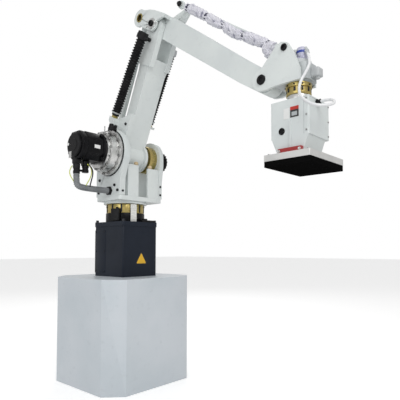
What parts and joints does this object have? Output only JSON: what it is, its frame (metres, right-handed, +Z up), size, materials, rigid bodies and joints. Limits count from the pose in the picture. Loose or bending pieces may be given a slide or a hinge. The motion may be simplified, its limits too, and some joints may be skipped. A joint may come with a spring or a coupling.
{
  "type": "scara robot arm",
  "caption": "Four-axis parallel-link palletizing robot arm on a chamfered pedestal, with a flat foam suction gripper hanging from its self-levelling wrist.",
  "frame": {"origin": "on the floor under the base turning axis, at the centre of the pedestal's foot", "axes": "+Z up along the base turning axis, +X forwards along the arm's reach at rest, so the arm works in the plane Y = 0 and +Y is the arm's left"},
  "size_m": [1.4927, 0.598, 1.847],
  "materials": {
    "pedestal_paint": "satin powder coat",
    "base_slate": "satin dark slate paint",
    "casting_paint": "painted, satin off-white",
    "grey_casting": "painted, satin grey",
    "bright_steel": "turned and brushed",
    "dark_steel": "blackened",
    "brass_ring": "turned, dull",
    "black_motor": "satin black paint",
    "black_plastic": "moulded, fine grain",
    "grey_plastic": "moulded",
    "conduit_black": "corrugated",
    "conduit_grey": "corrugated",
    "bumper_rubber": "matt",
    "sleeve_textile": "wrinkled woven textile",
    "strap_white": "woven tape",
    "plate_aluminium": "milled, clear",
    "box_paint": "painted sheet housing",
    "manifold_red": "red anodised",
    "foam_black": "open-cell foam",
    "hose_white": "smooth"
  },
  "bodies": {
    "base": {"pedestal_shell": "pedestal_paint", "pedestal_foot": "pedestal_paint", "pedestal_top": "pedestal_paint", "base_housing": "base_slate", "base_lid": "base_slate", "lid_bolts": "dark_steel", "turn_motor": "black_motor", "adapter_ring": "black_motor", "turn_reducer": "brass_ring", "home_sensor": "black_plastic", "cable_strap": "strap_white"},
    "turret": {"turntable": "casting_paint", "turret_floor": "casting_paint", "near_cheek": "casting_paint", "far_cheek": "casting_paint", "near_web": "casting_paint", "far_web": "casting_paint", "bumpers": "bumper_rubber", "shoulder_reducer": "bright_steel", "reducer_screws": "dark_steel", "shoulder_motor": "black_motor", "motor_plugs": "black_plastic", "elbow_reducer": "brass_ring", "elbow_motor": "black_motor", "motor_conduit": "conduit_grey"},
    "lower_arm": {"lower_arm": "casting_paint", "elbow_shaft": "bright_steel", "elbow_cap": "black_plastic", "near_conduit": "conduit_black", "far_conduit": "conduit_black", "conduit_glands": "brass_ring", "conduit_cuffs": "grey_plastic"},
    "elbow_link": {"elbow_link": "casting_paint", "link_pins": "bright_steel", "link_knob": "black_plastic"},
    "forearm": {"forearm": "casting_paint", "tail_plate": "casting_paint", "tail_bushing": "brass_ring", "tail_pin": "dark_steel"},
    "wrist": {"wrist_near_cheek": "casting_paint", "wrist_far_cheek": "casting_paint", "wrist_housing": "grey_casting", "wrist_pins": "bright_steel", "wrist_caps": "black_plastic", "tool_motor": "black_plastic", "wrist_port": "grey_plastic", "tool_reducer": "brass_ring", "air_hose": "hose_white"},
    "upper_rod": {"upper_rod": "casting_paint", "cable_sleeve": "sleeve_textile"},
    "lower_rod": {"lower_rod": "casting_paint"},
    "crank": {"crank": "grey_casting"},
    "crank_pin": {"crank_pin": "dark_steel"},
    "drive_rod": {"drive_rod": "casting_paint"},
    "tool": {"tool_flange": "dark_steel", "gripper_box": "box_paint", "gripper_plate": "plate_aluminium", "foam_pad": "foam_black", "manifold": "manifold_red", "hose_fitting": "black_plastic"}
  },
  "joints": [
    {"name": "base_turn", "type": "hinge", "parent": "base", "child": "turret", "pos_m": [0, 0, 0.889], "axis": [0, 0, 1], "range_deg": [-170, 170]},
    {"name": "shoulder", "type": "hinge", "parent": "turret", "child": "lower_arm", "pos_m": [0.034, 0, 1.14], "axis": [0, 1, 0], "range_deg": [-20, 35]},
    {"name": "link_level", "type": "hinge", "parent": "lower_arm", "child": "elbow_link", "pos_m": [0.29757, 0, 1.73198], "axis": [0, 1, 0], "range_deg": [-36, 21]},
    {"name": "elbow", "type": "hinge", "parent": "elbow_link", "child": "forearm", "pos_m": [0.29757, 0, 1.73198], "axis": [0, 1, 0], "range_deg": [-20, 15]},
    {"name": "wrist_level", "type": "hinge", "parent": "forearm", "child": "wrist", "pos_m": [0.91746, 0, 1.30274], "axis": [0, 1, 0], "range_deg": [-16, 21]},
    {"name": "upper_rod_turn", "type": "hinge", "parent": "elbow_link", "child": "upper_rod", "pos_m": [0.39957, 0, 1.82698], "axis": [0, 1, 0], "range_deg": [-21, 16]},
    {"name": "lower_rod_turn", "type": "hinge", "parent": "turret", "child": "lower_rod", "pos_m": [-0.076, 0, 1.2], "axis": [0, 1, 0], "range_deg": [-21, 36]},
    {"name": "crank_turn", "type": "hinge", "parent": "turret", "child": "crank", "pos_m": [0.034, 0, 1.14], "axis": [0, 1, 0], "range_deg": [-21, 16]},
    {"name": "crank_pin_turn", "type": "hinge", "parent": "crank", "child": "crank_pin", "pos_m": [-0.057, 0, 1.2], "axis": [0, 1, 0], "range_deg": [-16, 21]},
    {"name": "drive_rod_turn", "type": "hinge", "parent": "crank_pin", "child": "drive_rod", "pos_m": [-0.057, 0, 1.2], "axis": [0, 1, 0], "range_deg": [-21, 36]},
    {"name": "tool_turn", "type": "hinge", "parent": "wrist", "child": "tool", "pos_m": [1.045, 0, 1.222], "axis": [0, 0, 1], "range_deg": [-180, 180], "deforming": ["air_hose"]}
  ],
  "couplings": [
    {"joint": "link_level", "follows": "shoulder", "ratio": -1},
    {"joint": "lower_rod_turn", "follows": "shoulder", "ratio": 1},
    {"joint": "drive_rod_turn", "follows": "shoulder", "ratio": 1},
    {"joint": "wrist_level", "follows": "elbow", "ratio": -1},
    {"joint": "upper_rod_turn", "follows": "elbow", "ratio": 1},
    {"joint": "crank_turn", "follows": "elbow", "ratio": 1},
    {"joint": "crank_pin_turn", "follows": "elbow", "ratio": -1}
  ]
}
